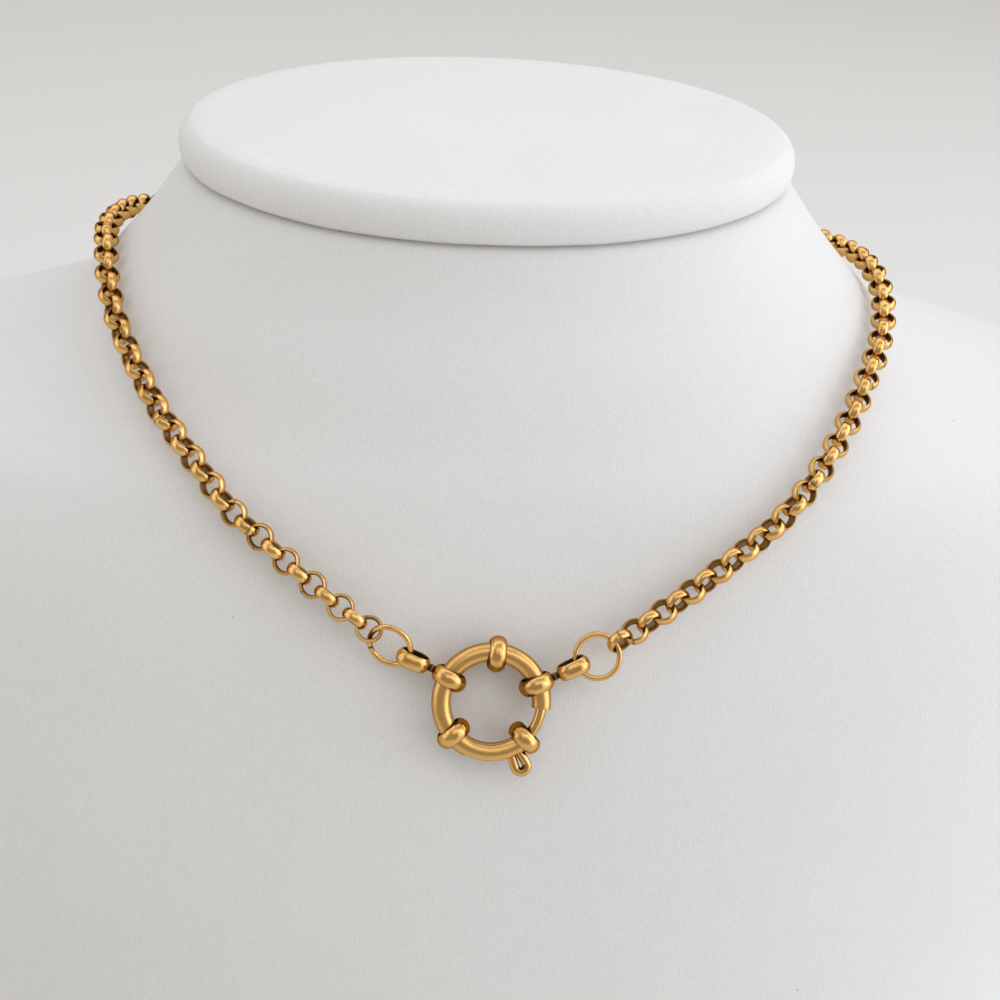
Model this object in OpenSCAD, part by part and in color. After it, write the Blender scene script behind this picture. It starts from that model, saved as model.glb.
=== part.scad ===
// Belcher-link chain choker with a sailor clasp, worn on a plain leatherette neck bust.
// Frame: millimetres, +Z up, the front faces -Y, the origin is under the middle of the bust's foot.

/* [Chain links] */
// Outside diameter of one round link, which is the chain's stated width
link_d = 3; // [2.95:0.01:3.05]
// Thickness of a link's half-round band at its crown
link_t = 0.37; // [0.34:0.01:0.38]
// Width of a link's band along its own axis
link_w = 1.06; // [1:0.01:1.08]
// Radius of the dome on the outside of a link's band
link_dome_r = 0.85; // [0.7:0.05:1.2]
// Bevel on a link's two inside edges
link_bevel = 0.17; // [0.14:0.01:0.17]
// Spacing aimed at between neighbouring links
link_pitch = 1.9; // [1.88:0.01:1.92]
// Distance from the bust's skin to the middle of the chain
chain_lift = 1.95; // [1.85:0.05:2.2]

/* [Clasp] */
// Distance of the clasp's middle to the right of the bust's middle
clasp_x = 0; // [-1:0.1:1]
// Distance of the clasp's middle in front of the frame's origin
clasp_forward = 38.8; // [38.6:0.1:39.4]
// Height of the clasp's middle above the surface that the bust stands on
clasp_height = 122; // [121.8:0.1:122.4]
// Angle that the clasp leans back from upright
clasp_lean = 28; // [26:1:32]
// Outside diameter of the clasp's ring
ring_d = 12.7; // [12.4:0.1:13]
// Outside diameter of the ring's tube
tube_d = 2.06; // [2:0.02:2.1]
// Bore of the ring's tube, in which the bolt slides
tube_bore_d = 1.4; // [1.36:0.02:1.44]
// Diameter of the sliding bolt
bolt_d = 1.14; // [1.08:0.02:1.16]
// Diameter of the bent wire of the thumb loop
thumb_wire_d = 0.92; // [0.86:0.02:0.96]
// Width of a collar along the ring
collar_w = 1.95; // [1.8:0.05:2]
// Outside diameter of a collar
collar_d = 3.9; // [3.7:0.1:4]

/* [Swivel eyes and jump rings] */
// Length of a swivel eye
eye_len = 3.75; // [3.7:0.05:3.9]
// Depth of a swivel eye from front to back
eye_depth = 2.9; // [2.8:0.1:3]
// Width of a swivel eye's band
eye_w = 1.9; // [1.8:0.05:1.95]
// Thickness of a swivel eye's band
eye_t = 0.46; // [0.42:0.02:0.5]
// Wire diameter of the jump rings
jump_wire_d = 0.54; // [0.5:0.02:0.54]
// Outside diameter of the left jump ring
jump_left_d = 5.22; // [5.2:0.01:5.24]
// Outside diameter of the right jump ring
jump_right_d = 5.25; // [5.15:0.05:5.3]

/* [Neck bust] */
// Gap between the bust's neck and the cap pad on it
cap_gap = 0.25; // [0.2:0.05:0.3]
// Half the thickness of the cap pad, which is the radius of its rolled rim
cap_rim_r = 2.4; // [2.2:0.1:2.6]
// Distance that the cap's rim stands out past the neck
cap_overhang = 0.8; // [0.5:0.1:1]
// Height of the cap's crown above its rim
cap_crown = 1.3; // [1:0.1:2]
// Radius on the bust's foot and on the edge of its neck
bust_edge_r = 1.2; // [0.8:0.1:1.6]

/* [Hidden] */

GOLD = [0.83, 0.62, 0.27];
LEATHERETTE = [0.93, 0.93, 0.92];

// The bust's level sections, from the foot to the top of the neck. Each is two half ellipses
// that share a width: one from the middle line to the front, one from it to the back.
// Columns: height, half width, front, middle line, back
HEIGHT = 0;
HALF_WIDTH = 1;
FRONT = 2;
MIDDLE = 3;
BACK = 4;
SECTIONS = [
    [0, 70, -54, 12, 54],
    [22, 76, -57, 12, 56.5],
    [47, 82, -56.5, 12, 57],
    [72, 88, -53, 12, 57],
    [92, 94, -48, 12, 56.3],
    [106, 96, -43, 12, 55],
    [118, 96, -38, 12, 53.6],
    [128, 92, -33, 12, 53],
    [136, 80, -28.4, 12, 52.5],
    [140.5, 63, -25.7, 12, 52],
    [142.5, 57, -24.2, 12, 51.6],
    [145.5, 51, -22.2, 12.2, 51],
    [150, 46.3, -19, 12.8, 49.5],
    [155, 41.7, -15, 14, 47.5],
    [162, 36.3, -10.6, 17, 45]];
neck_top = SECTIONS[len(SECTIONS) - 1][HEIGHT];

// The line that the chain follows on the bust's skin, once round from beside the clasp.
// Columns: turn round the bust from its front, height on the skin, twist of the first link plane
TURN = 0;
SKIN_HEIGHT = 1;
TWIST = 2;
CHAIN_LINE = [
    [8.3, 126.65, 53],
    [12.9, 130.25, 45],
    [17.8, 133.6, 39],
    [20.6, 135.2, 33],
    [23.8, 136.8, 25],
    [28.3, 138.4, 14],
    [33.6, 139.9, 3],
    [44.5, 142.6, -12],
    [56, 145.1, -23],
    [67, 147.05, -38],
    [78, 148.5, -55],
    [92, 149.3, -61],
    [109, 147.7, -61],
    [132, 144.1, -61],
    [148, 140.6, -61],
    [160, 137.5, -61],
    [169, 134.9, -61],
    [174.6, 133.5, -61],
    [180, 133, -61],
    [185.4, 133.5, -61],
    [191.3, 135.1, -61],
    [200, 138, -61],
    [214, 142.1, -61],
    [233, 146.5, -60],
    [249, 149.9, -58],
    [264, 151.7, -56],
    [277, 152.15, -55],
    [290, 150.7, -61],
    [302, 148, -64],
    [313, 144.9, -60],
    [324.7, 141.7, -58],
    [330, 140.2, -62],
    [335.1, 138.55, -67],
    [339.2, 136.8, -73],
    [342.6, 134.9, -82],
    [347.7, 131.05, -91],
    [351.99, 127.42, -102.7]];

// The links beside the clasp on its left hang a little looser
// Columns: links counted from the clasp, run along the line
LINK_SLACK = [[0, 0], [10, 19], [16, 30.7], [24, 46.5], [32, 62]];
line_start = CHAIN_LINE[0][TURN];
line_end = CHAIN_LINE[len(CHAIN_LINE) - 1][TURN];

// Places on the clasp's ring, as angles from its right side, counterclockwise from the front
TUBE_END_ANGLE = -6;
COLLAR_LOWER_RIGHT_ANGLE = -46;
COLLAR_UPPER_RIGHT_ANGLE = 22.7;
COLLAR_TOP_ANGLE = 84.3;
COLLAR_UPPER_LEFT_ANGLE = 151;
COLLAR_LOWER_LEFT_ANGLE = 220.5;
THUMB_ANGLE = -64;
bolt_tip_angle = TUBE_END_ANGLE + 6;
bolt_tail_angle = THUMB_ANGLE - 12;
bolt_travel = 40;
tube_mouth_angle = COLLAR_LOWER_RIGHT_ANGLE + 7;
slot_margin = 12;

// Directions of the two swivel eyes in the ring's plane, and how far each is rolled on its rivet
EYE_LEFT_ANGLE = 156.7;
EYE_RIGHT_ANGLE = 26.3;
EYE_LEFT_ROLL = -9;
EYE_RIGHT_ROLL = 3;

// Middles of the jump rings, measured from the ring's middle along its plane and out of it,
// with the direction and amount of their tilt
JUMP_LEFT_AT = [-10.82, 5.87, 0.12];
JUMP_RIGHT_AT = [11.21, 5.03, -0.05];
JUMP_LEFT_TILT_AXIS = 141.7;
JUMP_RIGHT_TILT_AXIS = 28;
JUMP_LEFT_TILT = -36.1;
JUMP_RIGHT_TILT = -2;

ring_r = (ring_d - tube_d) / 2;
tube_r = tube_d / 2;
collar_inset = 0.15;
collar_bore_r = tube_r + 0.2 + collar_inset;
collar_dome_r = 1.3;
rivet_neck_r = 0.36;
rivet_neck_gap = 0.45;
rivet_root = 0.5;
rivet_head_r = 0.56;
rivet_head_t = 0.3;
rivet_play = 0.1;
rivet_head_play = 0.28;
eye_dome_r = 1.6;
eye_bevel = 0.2;
thumb_loop_r = 0.7;
thumb_loop_at = 7.5;
thumb_bend = 97;
thumb_wire_r = thumb_wire_d / 2;
slot_play = 0.12;

BUST_COLUMNS = 72;
ROWS_A_SECTION = 3;
CAP_RIM_ROWS = 7;
CAP_CROWN_ROWS = 4;
cap_rim_turn = 75;
cap_crown_reach = 0.6;
end_lift = 0.7;
end_span = 9;
LINE_STEPS = 680;
SMALL_TURN = 0.2;

// Smooth values between the rows of a table, without overshoot
function secant(table, column, i) =
    (table[i + 1][column] - table[i][column]) / (table[i + 1][0] - table[i][0]);
function knot_slope(table, column, i) =
    i == 0 ? secant(table, column, 0)
    : i == len(table) - 1 ? secant(table, column, i - 1)
    : let (before = secant(table, column, i - 1), after = secant(table, column, i))
        before * after <= 0 ? 0 : 2 * before * after / (before + after);
function row_below(table, x, i = 0) =
    i >= len(table) - 2 || x < table[i + 1][0] ? i : row_below(table, x, i + 1);
function smooth(table, column, x) =
    let (
        i = row_below(table, x),
        span = table[i + 1][0] - table[i][0],
        u = (x - table[i][0]) / span,
        from = table[i][column],
        to = table[i + 1][column],
        slope_from = knot_slope(table, column, i) * span,
        slope_to = knot_slope(table, column, i + 1) * span
    )
    from + (to - from) * u * u * (3 - 2 * u) + slope_from * u * (1 - u) * (1 - u) - slope_to * u * u * (1 - u);

// A point of the bust's skin at a height and a turn from the front, drawn in by an inset
function skin(turn, height, inset = 0) =
    let (
        middle = smooth(SECTIONS, MIDDLE, height),
        reach = cos(turn) > 0 ? middle - smooth(SECTIONS, FRONT, height) : smooth(SECTIONS, BACK, height) - middle
    )
    [(smooth(SECTIONS, HALF_WIDTH, height) - inset) * sin(turn), middle - (reach - inset) * cos(turn), height];
function unit(v) = v / norm(v);
function skin_normal(turn, height) =
    unit(cross(
        skin(turn + SMALL_TURN, height) - skin(turn - SMALL_TURN, height),
        skin(turn, height + SMALL_TURN) - skin(turn, height - SMALL_TURN)));

// A closed skin through rings of points, all rings of one length and listed from below
module loft(rings) {
    columns = len(rings[0]);
    last = len(rings) - 1;
    sides = [
        for (r = [0 : last - 1], c = [0 : columns - 1])
            let (a = r * columns + c, b = r * columns + (c + 1) % columns)
            each [[a, b + columns, b], [a, a + columns, b + columns]]];
    foot = [for (c = [0 : columns - 1]) c];
    top = [for (c = [columns - 1 : -1 : 0]) last * columns + c];
    polyhedron(points = [for (ring = rings) each ring], faces = concat([foot], sides, [top]), convexity = 6);
}

function edge_inset(height, top) =
    let (to_edge = min(height, top - height, bust_edge_r))
    bust_edge_r - sqrt(bust_edge_r * bust_edge_r - pow(bust_edge_r - to_edge, 2));
function bust_ring(height) =
    [for (c = [0 : BUST_COLUMNS - 1]) skin(c * 360 / BUST_COLUMNS, height, edge_inset(height, neck_top))];

module neck_bust() {
    edge_steps = [0.1, 0.4, 1];
    section_heights = [
        for (i = [0 : len(SECTIONS) - 2], s = [0 : ROWS_A_SECTION - 1])
            if (i + s > 0)
                SECTIONS[i][HEIGHT] + (SECTIONS[i + 1][HEIGHT] - SECTIONS[i][HEIGHT]) * s / ROWS_A_SECTION];
    heights = concat(
        [0],
        [for (e = edge_steps) e * bust_edge_r],
        section_heights,
        [for (i = [len(edge_steps) - 1 : -1 : 0]) neck_top - edge_steps[i] * bust_edge_r],
        [neck_top]);
    color(LEATHERETTE) loft([for (h = heights) bust_ring(h)]);
}

// The cap pad: a rolled rim that follows the neck's oval, and a low crown over it
function cap_ring(inset, height) =
    [for (c = [0 : BUST_COLUMNS - 1])
        let (p = skin(c * 360 / BUST_COLUMNS, neck_top, inset - cap_overhang))
        [p[0], p[1], neck_top + cap_gap + height]];

module neck_cap() {
    half_width = SECTIONS[len(SECTIONS) - 1][HALF_WIDTH];
    rim = [
        for (i = [0 : CAP_RIM_ROWS])
            let (a = cap_rim_turn * (2 * i / CAP_RIM_ROWS - 1))
            cap_ring(cap_rim_r * (1 - cos(a)), cap_rim_r * (sin(cap_rim_turn) + sin(a)))];
    rim_top = 2 * cap_rim_r * sin(cap_rim_turn);
    crown = [
        for (i = [1 : CAP_CROWN_ROWS])
            let (u = i / (CAP_CROWN_ROWS + 1), inset = cap_rim_r * (1 - cos(cap_rim_turn)) + u * half_width * cap_crown_reach)
            cap_ring(inset, rim_top + cap_crown * sin(90 * u))];
    color(LEATHERETTE) loft(concat(rim, crown));
}

// The middle of the chain, as points at a turn round the bust. The jump rings hold its ends up.
function lift_at(turn) =
    let (from_end = min(turn - line_start, line_end - turn))
    chain_lift + end_lift * pow(max(0, 1 - from_end / end_span), 2);
function chain_point(turn) =
    let (height = smooth(CHAIN_LINE, SKIN_HEIGHT, turn))
    skin(turn, height) + lift_at(turn) * skin_normal(turn, height);
line_turns = [for (i = [0 : LINE_STEPS]) line_start + (line_end - line_start) * i / LINE_STEPS];
line_points = [for (turn = line_turns) chain_point(turn)];
line_lengths = [
    for (i = 0, run = 0; i < len(line_points);
        run = run + (i + 1 < len(line_points) ? norm(line_points[i + 1] - line_points[i]) : 0), i = i + 1) run];
chain_length = line_lengths[len(line_lengths) - 1];
turn_at_length = [for (i = [0 : len(line_turns) - 1]) [line_lengths[i], line_turns[i]]];
LINK_COUNT = 2 * round(chain_length / link_pitch / 2);
slack_end = LINK_SLACK[len(LINK_SLACK) - 1];
even_spacing = (chain_length - slack_end[1]) / (LINK_COUNT - 1 - slack_end[0]);
function link_run(k) =
    let (before = LINK_COUNT - 1 - k)
    before > slack_end[0] ? k * even_spacing : chain_length - lookup(before, LINK_SLACK);

module link() {
    outer = link_d / 2;
    inner = outer - link_t;
    half = link_w / 2;
    rotate_extrude($fn = 40)
        intersection() {
            translate([outer - link_dome_r, 0]) circle(r = link_dome_r, $fn = 64);
            polygon([
                [inner, half - link_bevel],
                [inner + link_bevel, half],
                [outer, half],
                [outer, -half],
                [inner + link_bevel, -half],
                [inner, link_bevel - half]]);
        }
}

// Every second link is a quarter turn on from the one before, about the chain's own line
module place_link(k) {
    turn = lookup(link_run(k), turn_at_length);
    at = chain_point(turn);
    along = unit(chain_point(turn + SMALL_TURN) - chain_point(turn - SMALL_TURN));
    outward = skin_normal(turn, smooth(CHAIN_LINE, SKIN_HEIGHT, turn));
    across = unit(cross(outward, along));
    up = cross(along, across);
    twist = smooth(CHAIN_LINE, TWIST, turn) + (k % 2 == 0 ? 0 : 90);
    multmatrix([
        [along[0], across[0], up[0], at[0]],
        [along[1], across[1], up[1], at[1]],
        [along[2], across[2], up[2], at[2]]])
        rotate([twist, 0, 0]) link();
}

module chain(first, last) {
    for (k = [first : last]) place_link(k);
}
module chain_right() color(GOLD) chain(0, LINK_COUNT / 2 - 1);
module chain_left() color(GOLD) chain(LINK_COUNT / 2, LINK_COUNT - 1);

// The clasp is drawn flat, its ring round the Z axis and its face up, and is then set on the chest
module on_chest() {
    translate([clasp_x, -clasp_forward, clasp_height]) rotate([90 - clasp_lean, 0, 0]) children();
}
module round_ring(from, to) {
    rotate([0, 0, from]) rotate_extrude(angle = to - from, $fn = 96) translate([ring_r, 0]) children();
}

module clasp_ring() {
    color(GOLD) on_chest() difference() {
        round_ring(TUBE_END_ANGLE, 360 + tube_mouth_angle) difference() {
            circle(d = tube_d, $fn = 48);
            circle(d = tube_bore_d, $fn = 48);
        }
        round_ring(THUMB_ANGLE - bolt_travel - slot_margin, THUMB_ANGLE + slot_margin)
            translate([0, -thumb_wire_r - slot_play])
                square([tube_d, thumb_wire_d + 2 * slot_play]);
    }
}

// The bolt slides round inside the tube, and the thumb loop stands on it through the tube's slot
module clasp_bolt() {
    leg_len = (thumb_loop_at - ring_r + thumb_loop_r * cos(thumb_bend)) / sin(thumb_bend);
    color(GOLD) on_chest() {
        round_ring(bolt_tail_angle, bolt_tip_angle) circle(d = bolt_d, $fn = 40);
        rotate([0, 0, THUMB_ANGLE]) translate([thumb_loop_at, 0, 0]) {
            rotate([0, 0, -thumb_bend]) rotate_extrude(angle = 2 * thumb_bend, $fn = 48)
                translate([thumb_loop_r, 0]) circle(r = thumb_wire_r, $fn = 32);
            for (side = [1, -1])
                rotate([0, 0, side * thumb_bend]) translate([thumb_loop_r, 0, 0]) rotate([-side * 90, 0, 0])
                    cylinder(r = thumb_wire_r, h = leg_len, $fn = 32);
        }
    }
}

module collar_band() {
    half = collar_w / 2;
    outer = collar_d / 2;
    rotate([90, 0, 0]) rotate_extrude($fn = 64)
        intersection() {
            translate([outer - collar_dome_r, 0]) circle(r = collar_dome_r, $fn = 64);
            translate([collar_bore_r, -half]) square([outer - collar_bore_r, collar_w]);
        }
}
module collar(angle) {
    color(GOLD) on_chest() rotate([0, 0, angle]) translate([ring_r - collar_inset, 0, 0]) collar_band();
}

// Where a rivet leaves its collar: the middle of the collar's outermost edge
function rivet_foot(angle) = (ring_r - collar_inset + collar_d / 2) * [cos(angle), sin(angle), 0];

// A collar with the rivet of its swivel eye, soldered on
module riveted_collar(angle, eye_angle) {
    neck_len = rivet_neck_gap + eye_t + rivet_head_play;
    color(GOLD) on_chest() {
        rotate([0, 0, angle]) translate([ring_r - collar_inset, 0, 0]) collar_band();
        translate(rivet_foot(angle)) rotate([0, 0, eye_angle]) rotate([0, 90, 0]) {
            translate([0, 0, -rivet_root]) cylinder(r = rivet_neck_r, h = rivet_root + neck_len, $fn = 32);
            translate([0, 0, neck_len]) cylinder(r = rivet_head_r, h = rivet_head_t, $fn = 32);
        }
    }
}

// A swivel eye: a half-round band bent into a long loop, with the rivet's hole in its near end
module eye_profile() {
    outer = eye_depth / 2;
    inner = outer - eye_t;
    half = eye_w / 2;
    intersection() {
        translate([outer - eye_dome_r, 0]) circle(r = eye_dome_r, $fn = 64);
        polygon([
            [inner, half - eye_bevel],
            [inner + eye_bevel, half],
            [outer, half],
            [outer, -half],
            [inner + eye_bevel, -half],
            [inner, eye_bevel - half]]);
    }
}
module swivel_eye(angle, eye_angle, roll) {
    outer = eye_depth / 2;
    straight = eye_len - eye_depth;
    color(GOLD) on_chest() translate(rivet_foot(angle)) rotate([0, 0, eye_angle]) rotate([roll, 0, 0])
        translate([rivet_neck_gap + outer, 0, 0]) difference() {
            rotate([90, 0, 0]) {
                rotate([0, 0, 90]) rotate_extrude(angle = 180, $fn = 64) eye_profile();
                translate([straight, 0, 0]) rotate([0, 0, -90]) rotate_extrude(angle = 180, $fn = 64) eye_profile();
                for (side = [90, -90])
                    translate([side > 0 ? 0 : straight, 0, 0]) rotate([0, 0, side]) rotate([90, 0, 0])
                        linear_extrude(straight) eye_profile();
            }
            translate([-outer - eye_t, 0, 0]) rotate([0, 90, 0])
                cylinder(r = rivet_neck_r + rivet_play, h = 3 * eye_t, $fn = 32);
        }
}

module jump_ring(at, outside_d, tilt_axis, tilt) {
    color(GOLD) on_chest() translate(at) rotate([0, 0, tilt_axis]) rotate([tilt, 0, 0])
        rotate_extrude($fn = 72) translate([(outside_d - jump_wire_d) / 2, 0]) circle(d = jump_wire_d, $fn = 32);
}

module collar_top() collar(COLLAR_TOP_ANGLE);
module collar_lower_left() collar(COLLAR_LOWER_LEFT_ANGLE);
module collar_lower_right() collar(COLLAR_LOWER_RIGHT_ANGLE);
module collar_upper_left() riveted_collar(COLLAR_UPPER_LEFT_ANGLE, EYE_LEFT_ANGLE);
module collar_upper_right() riveted_collar(COLLAR_UPPER_RIGHT_ANGLE, EYE_RIGHT_ANGLE);
module swivel_eye_left() swivel_eye(COLLAR_UPPER_LEFT_ANGLE, EYE_LEFT_ANGLE, EYE_LEFT_ROLL);
module swivel_eye_right() swivel_eye(COLLAR_UPPER_RIGHT_ANGLE, EYE_RIGHT_ANGLE, EYE_RIGHT_ROLL);
module jump_ring_left() jump_ring(JUMP_LEFT_AT, jump_left_d, JUMP_LEFT_TILT_AXIS, JUMP_LEFT_TILT);
module jump_ring_right() jump_ring(JUMP_RIGHT_AT, jump_right_d, JUMP_RIGHT_TILT_AXIS, JUMP_RIGHT_TILT);

neck_bust();
neck_cap();
clasp_ring();
clasp_bolt();
collar_top();
collar_upper_left();
collar_lower_left();
collar_upper_right();
collar_lower_right();
swivel_eye_left();
swivel_eye_right();
jump_ring_left();
jump_ring_right();
chain_left();
chain_right();
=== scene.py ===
"""A belcher-link choker with a sailor clasp, worn on a pale leatherette neck bust."""

import logging
import math
from dataclasses import dataclass, field
from enum import Enum

import bmesh
import bpy
import numpy as np
from mathutils import Matrix, Vector

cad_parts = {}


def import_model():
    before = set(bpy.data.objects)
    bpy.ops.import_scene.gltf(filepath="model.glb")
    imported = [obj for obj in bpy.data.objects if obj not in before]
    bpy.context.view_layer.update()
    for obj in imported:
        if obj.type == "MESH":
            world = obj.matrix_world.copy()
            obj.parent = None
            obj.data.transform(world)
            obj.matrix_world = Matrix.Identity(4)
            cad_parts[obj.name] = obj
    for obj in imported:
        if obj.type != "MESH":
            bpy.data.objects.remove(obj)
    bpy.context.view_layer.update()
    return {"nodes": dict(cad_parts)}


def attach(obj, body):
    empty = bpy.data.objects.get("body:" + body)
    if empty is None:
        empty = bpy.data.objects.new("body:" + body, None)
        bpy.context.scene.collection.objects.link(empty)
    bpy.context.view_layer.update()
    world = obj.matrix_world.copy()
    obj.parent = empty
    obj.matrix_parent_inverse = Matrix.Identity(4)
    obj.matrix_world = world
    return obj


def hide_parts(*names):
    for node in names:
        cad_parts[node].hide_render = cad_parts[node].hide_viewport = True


MM = 0.001
MERGE_DISTANCE = 1e-6
SAME_PLANE = 1e-7

Colour = tuple[float, float, float, float]
Outline = list[tuple[float, float]]

log = logging.getLogger("choker")


class Body(Enum):
    """The frame's bodies that the pieces ride on."""

    BUST = "choker_and_bust"
    BOLT = "bolt"


class Slot(Enum):
    """The record's material slots."""

    GOLD = "gold_metal"
    LEATHERETTE = "leatherette"


class Work(Enum):
    """How a gold piece's skin has been worked."""

    HAMMERED = "hammered"
    SATIN = "satin"
    POLISHED = "polished"


# Shader graph


@dataclass(frozen=True)
class Grain:
    """A soft noise: its units in a millimetre, its finer layers and their strength, and its upright units."""

    across: float
    layers: float
    strength: float
    upright: float | None = None


class Wire:
    """A socket's value that can stand in a Python expression."""

    def __init__(self, graph: "Graph", socket: bpy.types.NodeSocket) -> None:
        """Wrap one output socket of a graph."""
        self.graph = graph
        self.socket = socket

    def _math(self, operation: str, first: object, second: object) -> "Wire":
        """Add one Math node and return its value."""
        node = self.graph.node("ShaderNodeMath", {"operation": operation}, {0: first, 1: second})
        return Wire(self.graph, node.outputs[0])

    def __add__(self, other: object) -> "Wire":
        """Sum."""
        return self._math("ADD", self, other)

    __radd__ = __add__

    def __sub__(self, other: object) -> "Wire":
        """Difference."""
        return self._math("SUBTRACT", self, other)

    def __rsub__(self, other: object) -> "Wire":
        """Difference, the other way round."""
        return self._math("SUBTRACT", other, self)

    def __mul__(self, other: object) -> "Wire":
        """Product."""
        return self._math("MULTIPLY", self, other)

    def above(self, edge: float, softness: float) -> "Wire":
        """How far the value is past an edge, from 0 to 1.

        Args:
            edge: The value at which the step begins.
            softness: The width of the step.

        Returns:
            The clamped step.
        """
        node = self.graph.node(
            "ShaderNodeMapRange",
            {"clamp": True, "interpolation_type": "SMOOTHSTEP"},
            {"Value": self, "From Min": edge, "From Max": edge + softness},
        )
        return Wire(self.graph, node.outputs["Result"])

    def wave(self, period: float) -> "Wire":
        """A sine wave of the value, from 0 to 1, that repeats at a period."""
        return self._math("SINE", self * (2 * math.pi / period), 0) * 0.5 + 0.5


class Graph:
    """A material's node tree, built one node at a time."""

    def __init__(self, name: str) -> None:
        """Start a material with its shader and output.

        Args:
            name: The material's name.
        """
        self.material = bpy.data.materials.new(name)
        self.material.use_nodes = True
        self.tree = self.material.node_tree
        self.tree.nodes.clear()
        self.shader = self.node("ShaderNodeBsdfPrincipled")
        output = self.node("ShaderNodeOutputMaterial")
        self.tree.links.new(self.shader.outputs[0], output.inputs["Surface"])

    def node(
        self,
        kind: str,
        settings: dict[str, object] | None = None,
        values: dict[object, object] | None = None,
    ) -> bpy.types.Node:
        """Add a node, give it its settings, and fill or link its sockets.

        Args:
            kind: The node's type.
            settings: Properties of the node, set before its sockets are touched.
            values: A value, wire or socket for each input, by name or number.

        Returns:
            The new node.
        """
        made = self.tree.nodes.new(kind)
        for name, value in (settings or {}).items():
            setattr(made, name, value)
        for key, value in (values or {}).items():
            self.feed(made.inputs[key], value)
        return made

    def feed(self, socket: bpy.types.NodeSocket, value: object) -> None:
        """Link a wire or a socket to an input, or set the input's own value."""
        if isinstance(value, Wire):
            self.tree.links.new(value.socket, socket)
        elif isinstance(value, bpy.types.NodeSocket):
            self.tree.links.new(value, socket)
        else:
            socket.default_value = value

    def millimetres(self, stretch: tuple[float, float, float]) -> bpy.types.NodeSocket:
        """Object coordinates in millimetres, stretched along the axes.

        Args:
            stretch: The number of pattern units in a millimetre along each axis.

        Returns:
            The vector socket.
        """
        where = self.node("ShaderNodeTexCoord").outputs["Object"]
        scale = tuple(s / MM for s in stretch)
        return self.node("ShaderNodeMapping", None, {"Vector": where, "Scale": scale}).outputs[0]

    def noise(self, grain: Grain) -> Wire:
        """Soft noise on object coordinates, from 0 to 1."""
        upright = grain.across if grain.upright is None else grain.upright
        values = {
            "Vector": self.millimetres((grain.across, grain.across, upright)),
            "Scale": 1.0,
            "Detail": grain.layers,
            "Roughness": grain.strength,
        }
        return Wire(self, self.node("ShaderNodeTexNoise", None, values).outputs[0])

    def cells(self, per_mm: float, feature: str = "F1") -> bpy.types.Node:
        """A cell pattern on object coordinates.

        Args:
            per_mm: The number of cells in a millimetre.
            feature: What the pattern measures.

        Returns:
            The pattern's node.
        """
        values = {"Vector": self.millimetres((per_mm,) * 3), "Scale": 1.0, "Randomness": 1.0}
        return self.node("ShaderNodeTexVoronoi", {"feature": feature}, values)

    def attribute(self, name: str) -> Wire:
        """A value that the mesh carries at its points."""
        return Wire(self, self.node("ShaderNodeAttribute", {"attribute_name": name}).outputs["Fac"])

    def blend(self, factor: object, first: object, second: object) -> bpy.types.NodeSocket:
        """Mix two colours.

        Args:
            factor: How much of the second colour shows.
            first: A colour or colour socket.
            second: A colour or colour socket.

        Returns:
            The mixed colour's socket.
        """
        node = self.node("ShaderNodeMix", {"data_type": "RGBA"}, {0: factor, 6: first, 7: second})
        return node.outputs[2]

    def bump(
        self, height: object, depth_mm: float, strength: float, below: object = None
    ) -> bpy.types.NodeSocket:
        """Relief from a height.

        Args:
            height: The height, from 0 to 1.
            depth_mm: The relief's depth at full height.
            strength: How strongly it shows.
            below: The normal that this relief lies on.

        Returns:
            The normal's socket.
        """
        values = {"Height": height, "Distance": depth_mm * MM, "Strength": strength}
        if below is not None:
            values["Normal"] = below
        return self.node("ShaderNodeBump", None, values).outputs[0]

    def finish(self, **values: object) -> bpy.types.Material:
        """Set the shader's sockets by their names, with underscores for spaces.

        Returns:
            The finished material.
        """
        for name, value in values.items():
            self.feed(self.shader.inputs[name.replace("_", " ")], value)
        return self.material


# Finishes


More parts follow.
